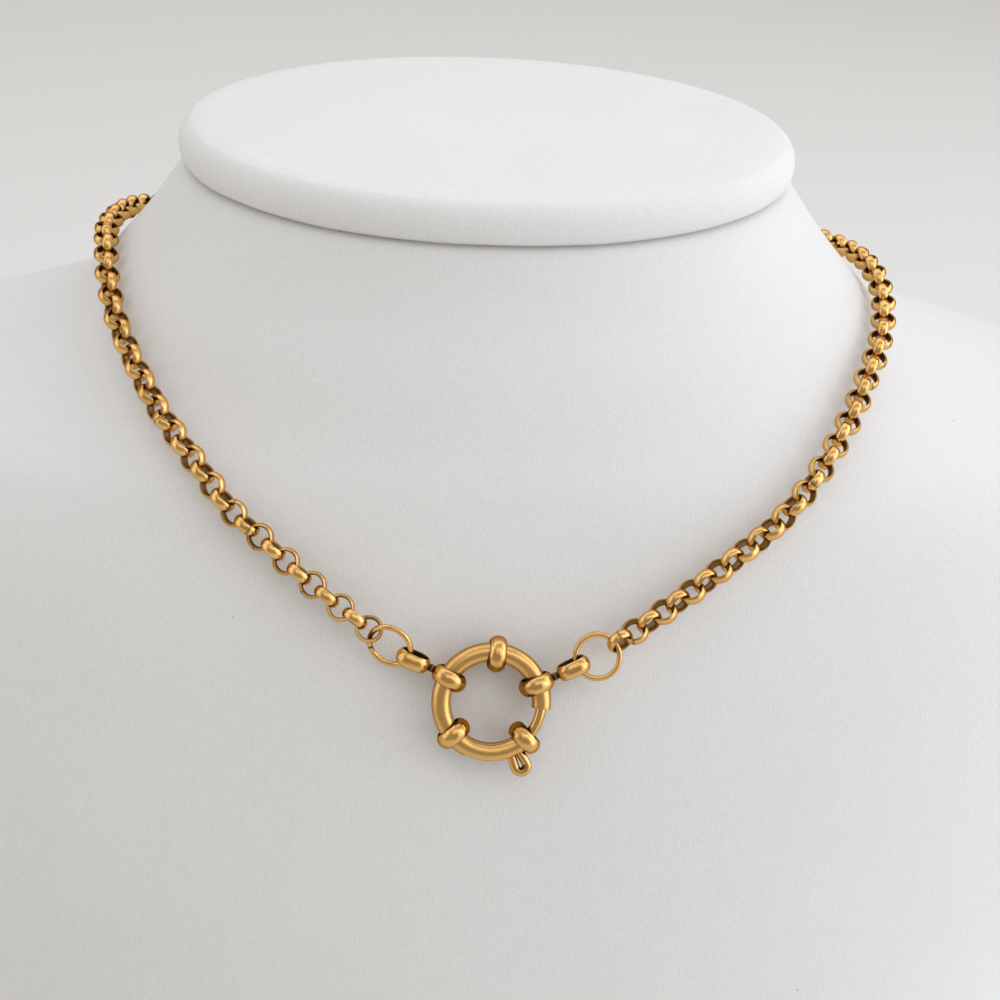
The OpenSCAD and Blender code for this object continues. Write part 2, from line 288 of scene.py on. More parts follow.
@dataclass(frozen=True)
class Gold:
    """Gold-coloured plated steel."""

    name: str
    work: Work
    roughness: float
    bright: Colour = (0.77, 0.465, 0.162, 1)
    # The deeper tone of the clouds, of painted shade on flanks and of a painted reflection.
    deep: Colour = (0.44, 0.2, 0.04, 1)
    # The colour for painted shade with tarnish in recesses, and for dark joints.
    dark: Colour = (0.03, 0.018, 0.01, 1)
    edge_tint: Colour = (0.75, 0.5, 0.3, 1)
    cloud: Grain = Grain(0.7, 3, 0.6)
    cloud_edge: tuple[float, float] = (0.35, 0.4)
    cloud_weight: float = 0.12
    shade_weight: float = 0.8
    grime_and_shade: float = 0.92
    scuffs: Grain = Grain(9, 4, 0.7)
    scuff_roughness: float = 0.08
    grime_roughness: float = 0.16
    waves: Grain = Grain(1.3, 1, 0.4)
    wave_depth: float = 0.02
    relief_strength: float = 0.4
    dents_per_mm: float = 1.9
    dent_depth: float = 0.035
    satin_marks: Grain = Grain(20, 2, 0.5)
    satin_strength: float = 0.35
    polish_marks: Grain = Grain(12, 2, 0.5)
    polish_strength: float = 0.3
    mark_depth: float = 0.002

    def material(self) -> bpy.types.Material:
        """Build the plating: its tone, tarnish with painted shade in recesses, painted shade on flanks, and
        fine marks of its work.
        """
        graph = Graph(self.name)
        cloud = graph.noise(self.cloud)
        recess = graph.attribute("recess")
        clouded = cloud.above(*self.cloud_edge) * self.cloud_weight
        # The shade mark deepens the tone: painted shade on flanks and undersides, a painted reflection on the
        # collars' inner sides, and a random tone on chain links.
        deeper = clouded + graph.attribute("shade") * self.shade_weight
        tone = graph.blend(deeper, self.bright, self.deep)
        # Painted shade with tarnish: the recess mark darkens the tone towards the dark colour, partly broken
        # up by the clouds.
        tone = graph.blend(recess * (self.grime_and_shade + cloud * (1 - self.grime_and_shade)), tone, self.dark)
        scuffs = graph.noise(self.scuffs) * self.scuff_roughness
        rough = scuffs + (self.roughness - self.scuff_roughness / 2) + recess * self.grime_roughness
        return graph.finish(
            Base_Color=tone,
            Metallic=1.0,
            Roughness=rough,
            Normal=self._relief(graph),
            Specular_Tint=self.edge_tint,
        )

    def _relief(self, graph: Graph) -> bpy.types.NodeSocket:
        """The skin's fine relief for the way it was worked."""
        base = graph.bump(graph.noise(self.waves), self.wave_depth, self.relief_strength)
        if self.work is Work.HAMMERED:
            dents = Wire(graph, graph.cells(self.dents_per_mm, "SMOOTH_F1").outputs["Distance"])
            return graph.bump(dents, self.dent_depth, self.relief_strength, base)
        if self.work is Work.SATIN:
            return graph.bump(graph.noise(self.satin_marks), self.mark_depth, self.satin_strength, base)
        return graph.bump(graph.noise(self.polish_marks), self.mark_depth, self.polish_strength, base)


@dataclass(frozen=True)
class Leatherette:
    """Pale fine-grained leatherette stretched over a board."""

    name: str
    light: Colour = (0.85, 0.848, 0.842, 1)
    shade: Colour = (0.75, 0.75, 0.75, 1)
    speck_and_shade: Colour = (0.3, 0.27, 0.25, 1)
    mottle: Grain = Grain(0.06, 3, 0.55)
    mottle_weight: float = 0.5
    streaks: Grain = Grain(2.2, 3, 0.6, 0.3)
    grain: Grain = Grain(3.6, 3, 0.6)
    grain_edge: tuple[float, float] = (0.34, 0.32)
    grain_weight: float = 0.42
    breaks: Grain = Grain(1.1, 3, 0.6, 0.45)
    break_edge: tuple[float, float] = (0.38, 0.24)
    rib_mm: float = 0.325
    rib_waver: float = 0.7
    rib_weight: float = 0.6
    seam_shade_weight: float = 0.55
    relief_depth: float = 0.03
    relief_strength: float = 0.5
    roughness: float = 0.5
    streak_roughness: float = 0.14
    grain_roughness: float = 0.06
    sheen: float = 0.12
    sheen_roughness: float = 0.5
    gloss: float = 0.35
    speck_cells_per_mm: float = 0.16
    speck_edge: tuple[float, float] = (0.012, 0.014)
    speck_choice: tuple[float, float] = (0.72, 0.04)
    speck_weight: float = 0.7

    def material(self) -> bpy.types.Material:
        """Build the skin: fine upright ribs that waver, grain, a few specks, and painted shade in the cap's
        seam.
        """
        graph = Graph(self.name)
        mottle = graph.noise(self.mottle)
        streaks = graph.noise(self.streaks)
        grain = graph.noise(self.grain)
        breaks = graph.noise(self.breaks).above(*self.break_edge)
        ribs = (graph.attribute("around") + streaks * self.rib_waver).wave(self.rib_mm)
        ribs = (ribs - 0.5) * breaks * self.rib_weight
        fibre = ribs + (grain.above(*self.grain_edge) - 0.5) * self.grain_weight
        tone = graph.blend(fibre + 0.5 + (mottle - 0.5) * self.mottle_weight, self.light, self.shade)
        # Painted shade in the seam under the cap, blended towards the speck colour.
        tone = graph.blend(graph.attribute("recess") * self.seam_shade_weight, tone, self.speck_and_shade)
        tone = graph.blend(self._specks(graph), tone, self.speck_and_shade)
        return graph.finish(
            Base_Color=tone,
            Roughness=self.roughness + streaks * self.streak_roughness + grain * self.grain_roughness,
            Normal=graph.bump(fibre + 0.5, self.relief_depth, self.relief_strength),
            Sheen_Weight=self.sheen,
            Sheen_Roughness=self.sheen_roughness,
            Specular_IOR_Level=self.gloss,
        )

    def _specks(self, graph: Graph) -> Wire:
        """A few tiny dark specks, each in a cell of its own."""
        cells = graph.cells(self.speck_cells_per_mm)
        near = 1 - Wire(graph, cells.outputs["Distance"]).above(*self.speck_edge)
        chosen = Wire(graph, cells.outputs["Color"]).above(*self.speck_choice)
        return near * chosen * self.speck_weight


# Modelling moves


class Bench:
    """The modelling moves that all the pieces share."""

    @staticmethod
    def clear() -> None:
        """Leave edit mode and deselect everything."""
        active = bpy.context.view_layer.objects.active
        if active is not None and active.mode != "OBJECT":
            bpy.ops.object.mode_set(mode="OBJECT")
        bpy.ops.object.select_all(action="DESELECT")

    @staticmethod
    def take(piece: bpy.types.Object) -> None:
        """Make one object the only selected one."""
        Bench.clear()
        piece.select_set(True)
        bpy.context.view_layer.objects.active = piece

    @staticmethod
    def circle(middle: float, radius: float, sides: int) -> Outline:
        """The corners of a circle whose middle lies on the X axis."""
        turns = (2 * math.pi * k / sides for k in range(sides))
        return [(middle + radius * math.cos(a), radius * math.sin(a)) for a in turns]

    @staticmethod
    def outline(name: str, points: Outline) -> bpy.types.Object:
        """Lay a closed outline in the XZ plane.

        Args:
            name: The piece's name.
            points: The outline's corners in millimetres, as distance out and height.

        Returns:
            The outline as a wire object.
        """
        Bench.clear()
        bpy.ops.mesh.primitive_circle_add(vertices=len(points), radius=MM, fill_type="NOTHING")
        piece = bpy.context.object
        piece.name = name
        for vertex, (out, up) in zip(piece.data.vertices, points):
            vertex.co = (out * MM, 0, up * MM)
        return piece

    @staticmethod
    def spin(piece: bpy.types.Object, degrees: float, steps: int) -> None:
        """Turn an outline about the Z axis into a skin, closed where the turn is whole.

        Args:
            piece: The outline.
            degrees: The turn, counterclockwise from above.
            steps: The number of segments.
        """
        Bench.take(piece)
        bpy.ops.object.mode_set(mode="EDIT")
        bpy.ops.mesh.select_all(action="SELECT")
        bpy.ops.mesh.spin(steps=steps, angle=-math.radians(degrees), center=(0, 0, 0), axis=(0, 0, 1))
        bpy.ops.mesh.select_all(action="SELECT")
        bpy.ops.mesh.remove_doubles(threshold=MERGE_DISTANCE)
        bpy.ops.object.mode_set(mode="OBJECT")

    @staticmethod
    def close(piece: bpy.types.Object) -> None:
        """Fill open ends and point every face outwards."""
        Bench.take(piece)
        bpy.ops.object.mode_set(mode="EDIT")
        bpy.ops.mesh.select_all(action="DESELECT")
        bpy.ops.mesh.select_mode(type="EDGE")
        bpy.ops.mesh.select_non_manifold()
        bpy.ops.mesh.fill_holes(sides=0)
        bpy.ops.mesh.select_all(action="SELECT")
        bpy.ops.mesh.normals_make_consistent(inside=False)
        bpy.ops.mesh.select_mode(type="VERT")
        bpy.ops.object.mode_set(mode="OBJECT")

    @staticmethod
    def turned(name: str, points: Outline, degrees: float, steps: int) -> bpy.types.Object:
        """Turn an outline about the Z axis into a solid, with its ends closed.

        Args:
            name: The piece's name.
            points: The outline's corners in millimetres, as distance out and height.
            degrees: The turn, counterclockwise from above.
            steps: The number of segments.

        Returns:
            The solid.
        """
        piece = Bench.outline(name, points)
        Bench.spin(piece, degrees, steps)
        Bench.close(piece)
        return piece

    @staticmethod
    def move(piece: bpy.types.Object, matrix: Matrix) -> None:
        """Move a mesh by a matrix, and keep its faces outwards where the matrix mirrors."""
        piece.data.transform(matrix)
        if matrix.to_3x3().determinant() < 0:
            piece.data.flip_normals()

    @staticmethod
    def bevel(piece: bpy.types.Object, width_mm: float, segments: int = 2, angle: float = 40) -> None:
        """Round the sharp edges with a bevel modifier and apply it."""
        Bench.take(piece)
        bpy.ops.object.modifier_add(type="BEVEL")
        bevel = piece.modifiers[-1]
        bevel.width = width_mm * MM
        bevel.segments = segments
        bevel.limit_method = "ANGLE"
        bevel.angle_limit = math.radians(angle)
        bpy.ops.object.modifier_apply(modifier=bevel.name)

    @staticmethod
    def carve(piece: bpy.types.Object, cutter: bpy.types.Object) -> None:
        """Cut one solid out of another and remove the cutter."""
        Bench.take(piece)
        bpy.ops.object.modifier_add(type="BOOLEAN")
        cut = piece.modifiers[-1]
        cut.operation = "DIFFERENCE"
        cut.solver = "EXACT"
        cut.object = cutter
        bpy.ops.object.modifier_apply(modifier=cut.name)
        bpy.data.objects.remove(cutter)

    @staticmethod
    def join(name: str, pieces: list[bpy.types.Object]) -> bpy.types.Object:
        """Join meshes into one piece.

        Args:
            name: The piece's name.
            pieces: The meshes.

        Returns:
            The joined piece.
        """
        Bench.clear()
        for piece in pieces:
            piece.select_set(True)
        bpy.context.view_layer.objects.active = pieces[0]
        bpy.ops.object.join()
        pieces[0].name = name
        return pieces[0]

    @staticmethod
    def smooth(piece: bpy.types.Object, degrees: float) -> None:
        """Shade smooth, with creases kept past an angle."""
        Bench.take(piece)
        bpy.ops.object.shade_smooth_by_angle(angle=math.radians(degrees))

    @staticmethod
    def mark(piece: bpy.types.Object, values: np.ndarray, name: str = "recess") -> None:
        """Give the mesh a value for each point.

        Args:
            piece: The piece.
            values: The values. What lies outside 0 to 1 is cut off.
            name: What they stand for: the recesses, darkened by painted shade, tarnish and dark joints, or
                the shade, a deeper tone for painted shade, a painted reflection and a random tone.
        """
        Bench.note(piece, np.clip(values, 0, 1), name)

    @staticmethod
    def note(piece: bpy.types.Object, values: np.ndarray, name: str) -> None:
        """Store a number at each point of the mesh, under a name."""
        layer = piece.data.attributes.get(name) or piece.data.attributes.new(name, "FLOAT", "POINT")
        layer.data.foreach_set("value", values.astype(np.float32))

    @staticmethod
    def points(piece: bpy.types.Object) -> np.ndarray:
        """The mesh's points in millimetres."""
        flat = np.zeros(len(piece.data.vertices) * 3)
        piece.data.vertices.foreach_get("co", flat)
        return flat.reshape(-1, 3) / MM

    @staticmethod
    def put(piece: bpy.types.Object, points: np.ndarray) -> None:
        """Set the mesh's points, in millimetres."""
        piece.data.vertices.foreach_set("co", (points * MM).ravel())
        piece.data.update()

    @staticmethod
    def dress(
        piece: bpy.types.Object, material: bpy.types.Material, slot: Slot, body: Body, node: str
    ) -> None:
        """Give a piece its finish and tie it to the frame.

        Args:
            piece: The finished piece.
            material: Its material.
            slot: The record's slot. Not used.
            body: The body that it rides on.
            node: The CAD node that it stands for.
        """
        for name in ("recess", "shade"):
            if piece.data.attributes.get(name) is None:
                Bench.mark(piece, np.zeros(len(piece.data.vertices)), name)
        piece.data.materials.clear()
        piece.data.materials.append(material)
        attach(piece, body.value)
        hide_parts(node)
        log.info("%s: %d faces", piece.name, len(piece.data.polygons))


@dataclass(frozen=True)
class Hammer:
    """Flattens small facets into a domed skin, as a planishing hammer does."""

    seed: int
    facet_mm: float = 0.7
    depth_mm: float = 0.014
    spacing: float = 0.8
    force: tuple[float, float] = (0.6, 1.3)
    lean: float = 0.035
    same_side: float = 0.6

    def strike(self, piece: bpy.types.Object, keep_below: float) -> None:
        """Strike a whole piece.

        Args:
            piece: The piece, with its faces outwards.
            keep_below: Points whose recess value is at least this are left alone.
        """
        points = Bench.points(piece)
        flat = np.zeros(len(points) * 3)
        piece.data.vertices.foreach_get("normal", flat)
        normals = flat.reshape(-1, 3)
        shift = np.zeros_like(points)
        depth = np.zeros(len(points))
        rng = np.random.default_rng(self.seed)
        for at in self._blows(points, rng):
            reach = np.linalg.norm(points - points[at], axis=1)
            near = (reach < self.facet_mm) & (normals @ normals[at] > self.same_side)
            lean = normals[at] + rng.normal(0, self.lean, 3)
            lean /= np.linalg.norm(lean)
            past = (points[near] - points[at]) @ lean + self.depth_mm * rng.uniform(*self.force)
            past = np.minimum(past, 2 * self.depth_mm) * (1 - (reach[near] / self.facet_mm) ** 2)
            deeper = past > depth[near]
            rows = np.flatnonzero(near)[deeper]
            depth[rows] = past[deeper]
            shift[rows] = -past[deeper, None] * lean
        held = np.zeros(len(points))
        piece.data.attributes["recess"].data.foreach_get("value", held)
        shift[held >= keep_below] = 0
        Bench.put(piece, points + shift)

    def _blows(self, points: np.ndarray, rng: np.random.Generator) -> list[int]:
        """Points spread evenly over the skin, each the farthest from those before it."""
        first = int(rng.integers(len(points)))
        chosen = [first]
        reach = np.linalg.norm(points - points[first], axis=1)
        while reach.max() > self.facet_mm * self.spacing:
            chosen.append(int(reach.argmax()))
            reach = np.minimum(reach, np.linalg.norm(points - points[chosen[-1]], axis=1))
        return chosen


# Neck bust


@dataclass(frozen=True)
class SmoothTable:
    """Values that run smoothly between a table's rows, without overshoot.

    The columns are height, half width, front, middle line and back.
    """

    rows: tuple[tuple[float, ...], ...]

    def _secant(self, column: int, i: int) -> float:
        """The slope of one step of the table."""
        low, high = self.rows[i], self.rows[i + 1]
        return (high[column] - low[column]) / (high[0] - low[0])

    def _slope(self, column: int, i: int) -> float:
        """The slope of the curve at a row."""
        if i in (0, len(self.rows) - 1):
            return self._secant(column, min(i, len(self.rows) - 2))
        before, after = self._secant(column, i - 1), self._secant(column, i)
        return 0 if before * after <= 0 else 2 * before * after / (before + after)

    def at(self, x: float, column: int) -> float:
        """The value of a column.

        Args:
            x: The place along the table's first column.
            column: The column.

        Returns:
            The smooth value.
        """
        i = max(0, min(len(self.rows) - 2, sum(row[0] <= x for row in self.rows) - 1))
        span = self.rows[i + 1][0] - self.rows[i][0]
        u = (x - self.rows[i][0]) / span
        low, high = self.rows[i][column], self.rows[i + 1][column]
        start, end = self._slope(column, i) * span, self._slope(column, i + 1) * span
        return low + (high - low) * u * u * (3 - 2 * u) + start * u * (1 - u) ** 2 - end * u * u * (1 - u)


@dataclass
class NeckBust:
    """The leatherette bust and the padded cap on its neck.

    Sizes are in millimetres and angles in degrees.
    """

    sections: SmoothTable = SmoothTable(
        (
            (0, 70, -54, 12, 54),
            (22, 76, -57, 12, 56.5),
            (47, 82, -56.5, 12, 57),
            (72, 88, -53, 12, 57),
            (92, 94, -48, 12, 56.3),
            (106, 96, -43, 12, 55),
            (118, 96, -38, 12, 53.6),
            (128, 92, -33, 12, 53),
            (136, 80, -28.4, 12, 52.5),
            (140.5, 63, -25.7, 12, 52),
            (142.5, 57, -24.2, 12, 51.6),
            (145.5, 51, -22.2, 12.2, 51),
            (150, 46.3, -19, 12.8, 49.5),
            (155, 41.7, -15, 14, 47.5),
            (162, 36.3, -10.6, 17, 45),
        )
    )
    neck_top: float = 162
    edge_radius: float = 1.2
    edge_step: int = 15
    columns: int = 216
    row_height: float = 1.3
    body_crease: float = 45
    body_shade: float = 0.4
    cap_gap: float = 0.25
    cap_rim_radius: float = 2.4
    cap_rim_height: float = 4.63
    cap_rim_turns: range = range(-45, 76, 8)
    cap_overhang: float = 0.8
    cap_crown: float = 1.3
    cap_crown_rows: int = 12
    cap_crown_reach: float = 0.72
    cap_crease: float = 60
    cap_shade: float = 0.8
    cap_fill: float = 0.9
    seam_height: float = 0.6
    pucker: float = 0.05
    pucker_turns: int = 7
    pucker_phase: float = 1.7
    pucker_share: float = 0.8
    leather: Leatherette = field(default_factory=lambda: Leatherette("bust leatherette"))
    pad_leather: Leatherette = field(
        default_factory=lambda: Leatherette("cap leatherette", light=(0.88, 0.878, 0.872, 1), rib_weight=0.12)
    )

    def skin(self, turn: np.ndarray, height: float, inset: float) -> np.ndarray:
        """Points of the bust's skin.

        Args:
            turn: Turns round the bust from its front, in radians.
            height: The height.
            inset: How far the points are drawn in.

        Returns:
            The points' x and y.
        """
        half_width, front, middle, back = (self.sections.at(height, column) for column in (1, 2, 3, 4))
        reach = np.where(np.cos(turn) > 0, middle - front, back - middle)
        across = (half_width - inset) * np.sin(turn)
        return np.stack([across, middle - (reach - inset) * np.cos(turn)], axis=1)

    def _stack(self, name: str, heights: list[float]) -> tuple[bpy.types.Object, np.ndarray, np.ndarray]:
        """Extrude a disc upwards through a list of heights.

        Args:
            name: The piece's name.
            heights: The heights of its rows, from below.

        Returns:
            The piece, each point's turn round it, and each point's row.
        """
        Bench.clear()
        bpy.ops.mesh.primitive_circle_add(vertices=self.columns, radius=1, fill_type="NGON")
        piece = bpy.context.object
        piece.name = name
        bpy.ops.object.mode_set(mode="EDIT")
        bpy.ops.mesh.select_all(action="SELECT")
        for _ in heights[1:]:
            bpy.ops.mesh.extrude_region_move(TRANSFORM_OT_translate={"value": (0, 0, 1)})
        bpy.ops.object.mode_set(mode="OBJECT")
        places = Bench.points(piece) * MM
        turn = np.arctan2(places[:, 0], -places[:, 1])
        row = np.rint(places[:, 2]).astype(int)
        return piece, turn, row

    def _edge_inset(self, height: float) -> float:
        """How far the rounded foot and neck edges draw the skin in."""
        to_edge = min(height, self.neck_top - height, self.edge_radius)
        return self.edge_radius - math.sqrt(self.edge_radius**2 - (self.edge_radius - to_edge) ** 2)

    @staticmethod
    def _girth(places: np.ndarray, turn: np.ndarray, row: np.ndarray) -> np.ndarray:
        """Each point's distance round its row from the front, in millimetres.

        Args:
            places: The points.
            turn: Their turns round the bust.
            row: Their rows.

        Returns:
            The distances, the same to both sides.
        """
        around = np.zeros(len(turn))
        for i in range(row.max() + 1):
            order = np.flatnonzero(row == i)
            order = order[np.argsort(np.abs(turn[order]), kind="stable")]
            for side in (order[turn[order] >= 0], order[turn[order] < 0]):
                steps = np.linalg.norm(np.diff(places[side], axis=0), axis=1)
                first = np.linalg.norm(places[side[0]] - places[order[0]])
                around[side] = first + np.concatenate([[0], np.cumsum(steps)])
        return around

    def build_body(self) -> bpy.types.Object:
        """The covered body of the bust."""
        edge_turns = range(0, 91, self.edge_step)
        low = [self.edge_radius * (1 - math.cos(math.radians(a))) for a in edge_turns]
        high = [self.neck_top - h for h in reversed(low)]
        count = round((high[0] - low[-1]) / self.row_height)
        middle = [low[-1] + (high[0] - low[-1]) * i / count for i in range(1, count)]
        heights = low + middle + high
        piece, turn, row = self._stack("bust_cover", heights)
        places = np.zeros((len(row), 3))
        for i, height in enumerate(heights):
            ring = row == i
            places[ring, :2] = self.skin(turn[ring], height, self._edge_inset(height))
            places[ring, 2] = height
        Bench.put(piece, places)
        Bench.close(piece)
        Bench.smooth(piece, self.body_crease)
        # Painted shade on the neck just under the cap's seam.
        under_cap = (places[:, 2] - (self.neck_top - self.seam_height)) / self.seam_height
        Bench.mark(piece, np.clip(under_cap, 0, 1) * self.body_shade)
        Bench.note(piece, self._girth(places, turn, row), "around")
        Bench.dress(piece, self.leather.material(), Slot.LEATHERETTE, Body.BUST, "neck_bust")
        return piece

    def build_cap(self) -> bpy.types.Object:
        """The padded cap: a rolled rim tucked under, and a low crown."""
        rim_angles = [math.radians(a) for a in self.cap_rim_turns]
        first, last = math.sin(rim_angles[0]), math.sin(rim_angles[-1])
        rise = self.cap_rim_height / (last - first)
        rows = [(self.cap_rim_radius * (1 - math.cos(a)), rise * (math.sin(a) - first)) for a in rim_angles]
        inset_end, height_end = rows[-1]
        half_width = self.sections.at(self.neck_top, 1)
        for i in range(1, self.cap_crown_rows + 1):
            u = i / (self.cap_crown_rows + 1)
            inset = inset_end + u * half_width * self.cap_crown_reach
            rows.append((inset, height_end + self.cap_crown * math.sin(math.pi / 2 * u)))
        piece, turn, row = self._stack("cap_pad", list(range(len(rows))))
        places = np.zeros((len(row), 3))
        for i, (inset, height) in enumerate(rows):
            ring = row == i
            places[ring, :2] = self.skin(turn[ring], self.neck_top, inset - self.cap_overhang)
            places[ring, 2] = self.neck_top + self.cap_gap + height
        above_neck = places[:, 2] - self.neck_top
        tucked = np.clip(1 - above_neck / self.cap_rim_radius, 0, 1)
        puckers = sum(
            self.pucker / k * np.sin(k * self.pucker_turns * turn + self.pucker_phase * k * k)
            for k in range(1, 5)
        )
        places[:, 2] += puckers * tucked * self.pucker_share
        Bench.put(piece, places)
        Bench.close(piece)
        Bench.smooth(piece, self.cap_crease)
        # Painted shade on the cap's rim down at the seam.
        in_seam = 1 - (places[:, 2] - self.neck_top) / self.seam_height
        Bench.mark(piece, np.clip(in_seam, 0, 1) * self.cap_shade)
        Bench.note(piece, places[:, 0], "around")
        Bench.dress(piece, self.pad_leather.material(), Slot.LEATHERETTE, Body.BUST, "neck_cap")
        return piece


# Chain


@dataclass
class Chain:
    """The belcher chain: round links of half-round band, each through the next.

    Sizes are in millimetres and angles in degrees.
    """

    outside_radius: float = 1.5
    wall: float = 0.42
    width: float = 1.1
    dome_radius: float = 0.85
    edge: float = 0.15
    edge_middle: tuple[float, float] = (0.06, 0.05)
    lip_drop: float = 0.035
    lip_round: tuple[float, float] = (0.01, 0.04)
    dome_steps: int = 4
    joint_degrees: float = 0.6
    joint_grime: float = 0.9
    inside_grime_and_shade: float = 1.1
    inside_share: float = 0.65
    grime_and_shade: float = 0.8
    tarnish: float = 0.35
    crease: float = 32
    steps: int = 40
    seed: int = 11
    gold: Gold = field(
        default_factory=lambda: Gold("chain gold", Work.POLISHED, 0.21, bright=(0.88, 0.54, 0.195, 1))
    )

    def _profile(self) -> Outline:
        """The band's half-round outline."""
        half = self.width / 2
        inner = self.outside_radius - self.wall
        reach = math.asin(half / self.dome_radius)
        centre = self.outside_radius - self.dome_radius
        turns = (reach * k / self.dome_steps for k in range(-self.dome_steps, self.dome_steps + 1))
        dome = [(centre + self.dome_radius * math.cos(a), self.dome_radius * math.sin(a)) for a in turns]
        lip = dome[0][0]
        low = [
            (inner, self.edge - half),
            (inner + self.edge_middle[0], self.edge_middle[1] - half),
            (inner + self.edge, -half),
            (lip - self.lip_drop, -half),
            (lip + self.lip_round[0], self.lip_round[1] - half),
        ]
        high = [(out, -up) for out, up in reversed(low)]
        return [*low, *dome[1:-1], *high]

    def _template(self) -> bpy.types.Object:
        """One link with its butt joint, lying flat with its joint on the X axis."""
        link = Bench.turned("link", self._profile(), 360 - self.joint_degrees, self.steps)
        Bench.move(link, Matrix.Rotation(math.radians(self.joint_degrees / 2), 4, "Z"))
        places = Bench.points(link)
        out = np.hypot(places[:, 0], places[:, 1])
        inner = self.outside_radius - self.wall
        # Painted shade, with tarnish, on the inner wall; a dark line at the butt joint.
        recess = np.clip(self.inside_grime_and_shade - (out - inner) / (self.wall * self.inside_share), 0, 1)
        turn = np.degrees(np.abs(np.arctan2(places[:, 1], places[:, 0])))
        recess = np.maximum(recess, (turn < self.joint_degrees) * self.joint_grime)
        Bench.mark(link, recess * self.grime_and_shade)
        Bench.smooth(link, self.crease)
        return link

    @staticmethod
    def _places(node: bpy.types.Object) -> list[Matrix]:
        """Read where each loose link of a chain node lies.

        Args:
            node: The CAD node.

        Returns:
            One matrix a link, its Z the link's axis.
        """
        mesh = bmesh.new()
        mesh.from_mesh(node.data)
        bmesh.ops.remove_doubles(mesh, verts=mesh.verts, dist=MERGE_DISTANCE)
        mesh.verts.ensure_lookup_table()
        seen: set[int] = set()
        places = []
        for start in mesh.verts:
            if start.index in seen:
                continue
            seen.add(start.index)
            stack, island = [start], []
            while stack:
                vertex = stack.pop()
                island.append(vertex.co)
                for edge in vertex.link_edges:
                    other = edge.other_vert(vertex)
                    if other.index not in seen:
                        seen.add(other.index)
                        stack.append(other)
            points = np.array([tuple(co) for co in island])
            middle = (points.max(0) + points.min(0)) / 2
            _, _, axes = np.linalg.svd(points - points.mean(0), full_matrices=False)
            turn = np.stack([axes[0], np.cross(axes[2], axes[0]), axes[2]], axis=1)
            places.append(Matrix.Translation(Vector(middle)) @ Matrix(turn.tolist()).to_4x4())
        mesh.free()
        return places

    def build(self, nodes: dict[str, bpy.types.Object]) -> list[bpy.types.Object]:
        """Copy the link to every place of both chain nodes.

        Args:
            nodes: The frame's CAD nodes.

        Returns:
            The two chain pieces.
        """
        template = self._template()
        material = self.gold.material()
        rng = np.random.default_rng(self.seed)
        made = []
        for name in ("chain_left", "chain_right"):
            links = []
            for place in self._places(nodes[name]):
                link = bpy.data.objects.new(f"{name}_link", template.data.copy())
                bpy.context.scene.collection.objects.link(link)
                spin = Matrix.Rotation(float(rng.uniform(0, 2 * math.pi)), 4, "Z")
                link.data.transform(place @ spin)
                shade = rng.uniform(0, self.tarnish)
                Bench.mark(link, np.full(len(link.data.vertices), shade), "shade")
                links.append(link)
            piece = Bench.join(f"{name}_links", links)
            Bench.dress(piece, material, Slot.GOLD, Body.BUST, name)
            made.append(piece)
        bpy.data.objects.remove(template)
        return made


# Clasp


@dataclass(frozen=True)
class ClaspPlace:
    """Where the clasp lies on the chest, in millimetres and degrees.

    It is drawn flat, facing up, and then set there.
    """

    forward: float = 38.8
    height: float = 122
    lean: float = 28

    def matrix(self) -> Matrix:
        """From the clasp's flat drawing to the frame."""
        at = Vector((0, -self.forward, self.height)) * MM
        return Matrix.Translation(at) @ Matrix.Rotation(math.radians(90 - self.lean), 4, "X")


@dataclass(frozen=True)
class Swivel:
    """A swivel eye: its side, its collar's angle, its own direction, and its roll on the rivet."""

    side: str
    collar_angle: float
    direction: float
    roll: float


@dataclass(frozen=True)
class JumpRing:
    """A jump ring: its outside size, its middle, its tilt, and where its wire's ends meet."""

    side: str
    outside: float
    at: tuple[float, float, float]
    tilt_axis: float
    tilt: float
    joint: float


